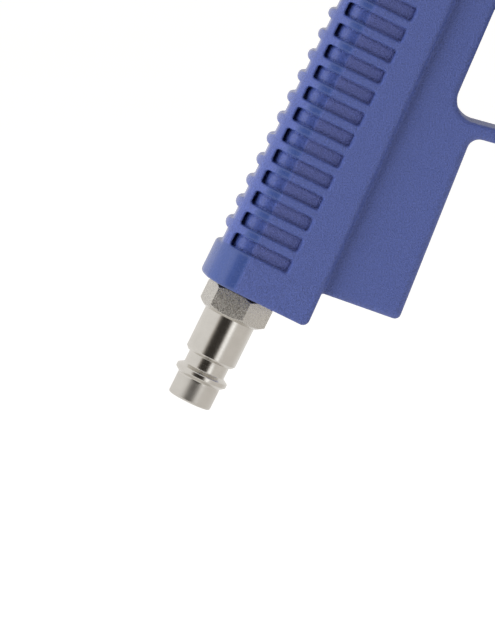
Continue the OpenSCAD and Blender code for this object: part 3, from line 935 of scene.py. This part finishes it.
def screw_hole(b, kind, place, half):
    """A screw's counterbore and its pilot hole."""
    centre = disc(b.u, b.w, place, 0) if kind == "grip" else disc(b.x, b.z, place, 0)
    head = both(centre - SCREW_HEAD_R - 0.25, half - SCREW_SUNK - b.y)
    return np.minimum(head, both(centre - SCREW_R, half - SCREW_SUNK - 15 - b.y))


def mirrored(obj):
    obj.data.transform(Matrix.Scale(-1, 4, (0, 1, 0)))
    obj.data.flip_normals()
    return obj


def housing():
    """The two halves of the housing, the finger guard and the collector's cradle."""
    step = 0.3
    b = Block((0.6, -2.1 * step, 14.6), (105.4, 16.9, 154.2), step)
    opening = outline(b.x, b.z, OPENING, OPENING_R)
    solid = either(grip_field(b), plate_field(b, opening), 0.5)
    solid = either(solid, receiver_field(b), 1.2)
    solid = either(solid, eye_field(b), 1.5)
    solid = less(solid, both(opening, np.abs(b.y) - 99))
    solid = less(solid, cavity_field(b))
    solid = less(solid, seats_field(b), 0.15)
    solid = less(solid, cradle_ears(b, 0.1))
    right = both(solid, -b.y, 0.1)
    bored = solid
    for screw in SCREWS[:6]:
        bored = less(bored, screw_hole(b, *screw), 0.3)
    left = both(bored, -b.y, 0.1)
    budget = 170000
    dress(moulded("housing_left_half", left, b, budget), "shell_left")
    dress(mirrored(moulded("housing_right_half", right, b, budget)), "shell_right")

    b = Block((66.0, -9.5, 52.0), (109.0, 9.5, 113.0), 0.28)
    guard = guard_field(b, outline(b.x, b.z, OPENING, OPENING_R))
    guard = less(guard, screw_hole(b, *SCREWS[5]))
    dress(moulded("guard_hoop", guard, b, budget // 3), "finger_guard")

    b = Block((97.0, -17.0, 100.5), (175.5, 17.0, 139.0), 0.34)
    cradle = cradle_field(b)
    for screw in SCREWS[5:]:
        cradle = less(cradle, screw_hole(b, *screw), 0.2)
    dress(moulded("collector_carrier", cradle, b, budget), "collector_cradle")


def screws():
    """Pan-head screws with a cross recess."""
    step = 0.14
    b = Block((-3.3, -3.3, -0.6), (3.3, 3.3, 2.6), step)
    radius = np.sqrt(b.x**2 + b.y**2)
    dome = np.sqrt(radius**2 + (b.z + 2.4) ** 2) - 4.5
    head = both(both(radius - SCREW_HEAD_R, -b.z, 0.1), both(b.z - 2.0, dome, 0.4), 0.25)
    taper = 0.55 - 0.16 * (2.0 - b.z)
    arms = np.minimum(
        both(np.abs(b.x) - taper, np.abs(b.y) - 1.75),
        both(np.abs(b.y) - taper, np.abs(b.x) - 1.75),
    )
    head = less(head, both(arms, 0.7 - b.z), 0.08)
    points, quads = skin(head + 0 * b.x, b)
    shank = [(-14, 0), (-14, 0.8, 0.2), (-12.5, SCREW_R, 0.3), (0.1, SCREW_R), (0.1, 0)]
    shank = swept(shank, 24)
    parts = []
    for kind, (a, c), half in SCREWS:
        x, z = grip_to_row(a, c) if kind == "grip" else (a, c)
        m = np.array(
            Matrix.Translation((x, half - SCREW_SUNK, z))
            @ Matrix.Rotation(-math.pi / 2, 4, "X")
            @ Matrix.Rotation(0.4 * len(parts), 4, "Z")
        )
        for p, f in ((points, quads.tolist()), shank):
            parts.append((np.asarray(p) @ m[:3, :3].T + m[:3, 3], f))
    points, faces = merged(parts)
    dress(outward(new_mesh("screws", points, faces)), "housing_screws")


# ---- trigger ----


def trigger():
    """A blade hung from its pin, hollowed for the finger, wider below the receiver."""
    step = 0.22
    x0, z0 = grip_to_row(PIN_AT[0] + 8, PIN_AT[1] - 36)
    x1, z1 = grip_to_row(*PIN_AT)
    b = Block((x0 - 11, -6.6, z0 - 3), (x0 + 17, 6.6, z1 + 5), step)
    y = np.abs(b.y)
    u, w = b.u - PIN_AT[0], b.w - PIN_AT[1]
    blade = outline(
        u,
        w,
        [
            (-2.4, -2), (1.7, -7), (1.9, -31), (5.7, -36.2), (8.9, -35.2), (6.1, -28),
            (5.9, -9), (3, -2),
        ],
        0.9,
    )
    blade = less(blade, disc(u, w, (20.5, -19.5), 15.2), 1.6)
    wide = both(both(blade, w + 8.6, 1.0), y - 6.0, 1.6)
    narrow = both(either(disc(u, w, (0, 0), 3.6), blade, 2.0), y - 4.0, 0.8)
    solid = either(wide, narrow, 0.6)
    for k in range(5):
        groove = disc(u, w, (5.6, -25.5 + 2.6 * k), 0.5)
        solid = less(solid, both(groove, y - 4.6), 0.3)
    solid = less(solid, disc(u, w, (0, 0), 1.55), 0.2)
    dress(moulded("trigger_blade", solid, b, 40000), "trigger")


# ---- air inlet ----


def hexagon(apothem, start):
    """A shape that holds a turned section inside a hexagon."""

    def cut(z, r, a):
        turn = (a - start) % (math.pi / 3) - math.pi / 6
        return min(r, apothem / math.cos(turn))

    return cut


def air_plug():
    """The plug's turned body and its chamfered hexagon."""
    flats = math.radians(HEX_TURN)
    body = swept(
        [
            (0, 3.6, 0.25), (0, 5.05, 0.5), (5.2, 5.05, 0.2), (5.95, 6.08, 0.25),
            (6.9, 6.08, 0.3), (7.7, 4.83, 0.3), (10.5, 4.83, 0.15), (10.5, 5.35, 0.1),
            (11.15, 5.95, 0.25), (20.9, 5.95), (20.9, 3.6),
        ],
        segments=128,
    )
    rows = [(HEX_FOOT, 3.6), (HEX_FOOT, 6.3)]
    hex_low, hex_high, corner = HEX_FOOT, GRIP_BASE - 0.5, 8.08
    steps = 10
    for i in range(1, steps + 1):
        rows.append((hex_low + 1.15 * i / steps, 6.35 + (corner - 6.35) * i / steps))
    for i in range(steps + 1):
        rows.append((hex_high - 0.55 * (1 - i / steps), corner - 0.8 * i / steps))
    rows += [(hex_high, 6.55), (hex_high + 9.5, 6.55, 0.4), (hex_high + 9.5, 3.6)]
    nut = swept(rows, segments=144, shape=hexagon(HEX_APOTHEM, flats), start=flats)
    points, faces = merged([body, nut])
    obj = outward(new_mesh("plug_body", points, faces, grip_matrix(0, 0, -GRIP_BASE)))
    edge = obj.modifiers.new("edge", "BEVEL")
    edge.width, edge.segments, edge.limit_method = 0.00012, 2, "ANGLE"
    edge.angle_limit = math.radians(35)
    dress(obj, "air_plug")


def inlet_pieces():
    seal = [(-0.5, 6.55), (-0.5, 7.9, 0.3), (0.3, 7.9, 0.2), (0.3, 6.55)]
    dress(turned("plug_seal_ring", grip_matrix(), seal), "plug_seal")


# ---- barrel ----


def fluted(count, depth, above):
    """A shape with soft flutes on every radius above that one."""

    def cut(z, r, a):
        if r < above:
            return r
        wave = 0.5 + 0.5 * math.cos(count * a)
        return r - depth * wave**3

    return cut


def exhaust_knob():
    """The pull knob: fluted rim, a dished face and six exhaust holes."""
    step = 0.25
    b = Block((5.4, -12.2, BARREL_Z - 12.2), (20.7, 12.2, BARREL_Z + 12.2), step)
    dz = b.z - BARREL_Z
    radius = np.sqrt(b.y**2 + dz**2)
    angle = np.arctan2(dz, b.y)
    rim = radius - 11.5 + 0.55 * (0.5 + 0.5 * np.cos(24 * angle)) ** 2
    solid = both(rim, band(b.x, 6, 20), 1.3)
    dish = np.sqrt((b.x + 22.4) ** 2 + radius**2) - 29.6
    solid = less(solid, dish, 0.5)
    solid = less(solid, both(radius - 7, band(b.x, 8, 18)))
    solid = less(solid, both(radius - 5, band(b.x, 17, 21)), 0.2)
    for k in range(6):
        a = math.radians(30 + 60 * k)
        hole = np.sqrt((b.y - 4.4 * math.cos(a)) ** 2 + (dz - 4.4 * math.sin(a)) ** 2)
        solid = less(solid, both(hole - 1.3, b.x - 9), 0.25)
    dress(moulded("exhaust_pull_knob", solid, b, 60000), "exhaust_knob")


def barrel_pieces():
    """Everything turned about the barrel's axis. By CAD node: the piece's name, its half section
    as (x, radius, rounding), and how finely or in what shape it is turned."""
    r = TUBE_R
    x0, x1 = TUBE_X
    pieces = {
        "rear_cap": ("rear_end_cap", [
            (22, 5.05, 0.4), (22, 11.6, 0.6), (23.2, 13, 0.6), (26, 13, 0.3), (26, 8),
            (34, 8, 0.4), (34, 5.05, 0.2),
        ]),
        "silencer_core": ("silencer_plug", [(8, 0), (8, 7, 0.3), (18, 7, 0.3), (18, 0)]),
        "diffuser_tube": ("diffuser", [
            (18, 3.6, 0.2), (18, 5, 0.3), (70, 5, 0.2), (70, 3.2), (64, 1.6), (60, 1.6),
        ]),
        "rear_gasket": ("collector_gasket_rear", [
            (104, 2.5, 0.3), (104, r, 0.3), (106, r, 0.5), (106, 2.5, 0.4),
        ]),
        "collector_tube": ("collector_glass", [
            (x0, r - 1.8, 0.5), (x0, r, 0.5), (x1, r, 0.5), (x1, r - 1.8, 0.5),
        ], {"segments": 128}),
        "filter_pad": ("collector_filter", [
            (x0 + 1, 0), (x0 + 1, r - 1.8, 0.5), (x0 + 6, r - 1.8, 0.6), (x0 + 6, 0),
        ]),
        "front_gasket": ("collector_gasket_front", [
            (158, 3, 0.4), (158, r + 0.5, 0.5), (160, r + 0.5, 0.2), (160, 3, 0.3),
        ]),
        "front_head": ("front_head_turned", [
            (160, 3, 0.4), (160, HEAD_R, 0.3), (165, HEAD_R), (165, COLLAR_R), (168, COLLAR_R),
            (168, HEAD_R), (174, HEAD_R), (174, 14, 0.4), (175.1, 14, 0.2), (175.5, 13.6, 0.2),
            (175.9, 14, 0.2), (178, 14, 0.5), (178, 12.6, 0.3), (183, 10.5, 0.4),
            (183.6, 10.9, 0.3), (189, 8, 0.4), (189, 6.5, 0.2), (198, 6.5, 0.3), (198, 4.4, 0.2),
            (193, 4.4), (193, 3, 0.2),
        ], {"segments": 144}),
        "nozzle_nut": ("nozzle_clamp_nut", [
            (190, 6.5, 0.2), (190, 8.4, 0.4), (190.7, 9, 0.4), (199.2, 9, 0.6),
            (200.9, 7.6, 0.4), (201, 4.2, 0.2), (199.5, 4.2), (199.5, 6.5),
        ], {"segments": 160, "shape": fluted(20, 0.5, 8.6)}),
        "nozzle_oring": ("nozzle_seal", [
            (194.12, 3.4, 0.3), (194.12, 4.36, 0.45), (195.08, 4.36, 0.45), (195.08, 3.4, 0.3),
        ], {"segments": 48}),
        "nozzle": ("nozzle_tip", [
            (193, 2, 0.2), (193, 3.4, 0.4), (198, 3.4), (198, 6.4, 0.2), (199.5, 6.4, 0.2),
            (199.5, 4.1), (207, 4.1, 0.4), (209, 3.3, 1.2), (220, 2.1, 0.3), (220, 1.1, 0.15),
            (206, 1.1), (205.6, 2),
        ]),
    }
    for node, (name, corners, *how) in pieces.items():
        how = how[0] if how else {}
        dress(turned(name, barrel_matrix(), corners, **how), node)


def springs():
    """The collector's wire baffle, and the two springs of the joints, each with a mesh of its
    own.
    """
    baffle = new_mesh(
        "baffle_wire",
        *coil(TUBE_R - 2.5, 0.6, 23.4, 6, 0.6),
        matrix=barrel_matrix(TUBE_X[0] + 24.3),
    )
    dress(outward(baffle), "baffle_coil")
    back = new_mesh("ejector_spring", *coil(6.9, 0.75, 30.2, 8), matrix=barrel_matrix(34.85))
    dress(outward(back), "return_spring")
    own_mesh(back)
    closing = new_mesh(
        "poppet_spring",
        *coil(2.7, 0.45, 6.3, 5),
        matrix=grip_matrix(-2.95, 0, VALVE_W) @ Matrix.Rotation(math.pi / 2, 4, "Y"),
    )
    dress(outward(closing), "valve_spring")
    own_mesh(closing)


def carried_over():
    """CAD nodes that stay get their slot's material."""
    for name, obj in frame["nodes"].items():
        if obj.hide_render:
            continue
        slot = NODE_SLOT[name]
        obj.data.materials.clear()
        obj.data.materials.append(MATERIALS[slot])


# ---- studio ----

VIEW_AT = (13.05, 0.0, 19.35)  # what the camera looks at
VIEW_FROM = {"azimuth": 0.8, "elevation": 5.0, "distance": 1330.0}
VIEW_WIDTH = 109.94  # width of the picture at the object
PICTURE = (495, 628)
# The surround's levels: direction, the degrees from it where the level starts and ends to change,
# the level outside and the level inside
DARK = ((-0.165, -0.986, -0.02), (38.0, 20.0), 0.86, 0.03)
DIM_RIGHT = ((0.9, -0.3, -0.5), (75.0, 20.0), 1.0, 0.8)
WARM = (1.0, 0.86, 0.72, 1.0)  # colour of the unlit part
STREAK = ((0.40, -0.88, -0.25), (15.0, 5.0), 0.0, 0.7)


def camera():
    """A long lens, a little above the tool and a little to its right."""
    a, e = math.radians(VIEW_FROM["azimuth"]), math.radians(VIEW_FROM["elevation"])
    back = Vector((math.sin(a) * math.cos(e), -math.cos(a) * math.cos(e), math.sin(e)))
    data = bpy.data.cameras.new("camera")
    data.sensor_width = 36.0
    tall = VIEW_WIDTH * PICTURE[1] / PICTURE[0]
    data.lens = data.sensor_width * VIEW_FROM["distance"] / tall
    data.clip_start, data.clip_end = 0.05, 100.0
    obj = bpy.data.objects.new("camera", data)
    obj.location = (Vector(VIEW_AT) + back * VIEW_FROM["distance"]) * MM
    obj.rotation_mode = "QUATERNION"
    obj.rotation_quaternion = (-back).to_track_quat("-Z", "Y")
    bpy.context.scene.collection.objects.link(obj)
    bpy.context.scene.camera = obj


def area_light(name, place, target, size, power, colour=(1, 1, 1)):
    data = bpy.data.lights.new(name, "AREA")
    data.shape, data.size, data.size_y = "RECTANGLE", size[0], size[1]
    data.energy, data.color = power, colour
    obj = bpy.data.objects.new(name, data)
    obj.location = place
    obj.rotation_euler = (Vector(target) - Vector(place)).to_track_quat("-Z", "Y").to_euler()
    obj.visible_glossy = False
    bpy.context.scene.collection.objects.link(obj)


def studio():
    """A pale floor well below the tool, soft boxes at both sides and above, and a dim front."""
    floor = new_mesh(
        "floor",
        [(-20000, -450, -160), (20000, -450, -160), (20000, 20000, -160), (-20000, 20000, -160)],
        [[0, 1, 2, 3]],
    )
    s = Shader("floor", (0.86, 0.86, 0.86), 0.9, Emission_Strength=0.3)
    s.main.inputs["Emission Color"].default_value = (1, 1, 1, 1)
    s.colour(s.mix(s.noise(0.002, 2.0), (0.85, 0.85, 0.85), (0.88, 0.88, 0.88)))
    floor.data.materials.append(s.material)
    floor.visible_glossy = False
    surround()
    centre = (0.06, 0, 0.07)
    area_light("left_box", (-0.85, -0.45, 0.35), centre, (0.7, 1.2), 11.0)
    area_light("right_box", (0.95, -0.4, 0.3), centre, (0.6, 1.2), 2.0)
    area_light("top_box", (0.0, 0.05, 1.05), centre, (1.3, 1.0), 4.0)
    bpy.context.scene.view_settings.view_transform = "Standard"


def surround():
    """White all round, apart from the unlit part of the room that the picture is taken from."""
    world = bpy.data.worlds.new("studio")
    world.use_nodes = True
    bpy.context.scene.world = world
    nodes, links = world.node_tree.nodes, world.node_tree.links
    way = nodes.new("ShaderNodeTexCoord").outputs["Generated"]

    def lobe(towards, spread, outside, inside):
        """A level that changes from outside to inside within some degrees of a direction."""
        near = nodes.new("ShaderNodeVectorMath")
        near.operation = "DOT_PRODUCT"
        near.inputs[1].default_value = Vector(towards).normalized()
        links.new(way, near.inputs[0])
        level = nodes.new("ShaderNodeMapRange")
        level.interpolation_type = "SMOOTHSTEP"
        edges = [math.cos(math.radians(a)) for a in spread]
        names = ("From Min", "From Max", "To Min", "To Max")
        for name, value in zip(names, (*edges, outside, inside)):
            level.inputs[name].default_value = value
        links.new(near.outputs["Value"], level.inputs["Value"])
        return level.outputs["Result"]

    def joined(operation, one, two):
        made = nodes.new("ShaderNodeMath")
        made.operation = operation
        links.new(one, made.inputs[0])
        links.new(two, made.inputs[1])
        return made.outputs[0]

    soft = joined("MULTIPLY", lobe(*DARK), lobe(*DIM_RIGHT))
    soft = joined("ADD", soft, lobe(*STREAK))
    seen = nodes.new("ShaderNodeMix")
    links.new(nodes.new("ShaderNodeLightPath").outputs["Is Camera Ray"], seen.inputs[0])
    links.new(soft, seen.inputs[2])
    seen.inputs[3].default_value = 1.0
    tint = nodes.new("ShaderNodeMix")
    tint.data_type = "RGBA"
    links.new(seen.outputs[0], tint.inputs[0])
    tint.inputs[6].default_value, tint.inputs[7].default_value = WARM, (1, 1, 1, 1)
    back = nodes["Background"]
    links.new(tint.outputs[2], back.inputs["Color"])
    links.new(seen.outputs[0], back.inputs["Strength"])


housing()
screws()
trigger()
air_plug()
inlet_pieces()
exhaust_knob()
barrel_pieces()
springs()
carried_over()
camera()
studio()
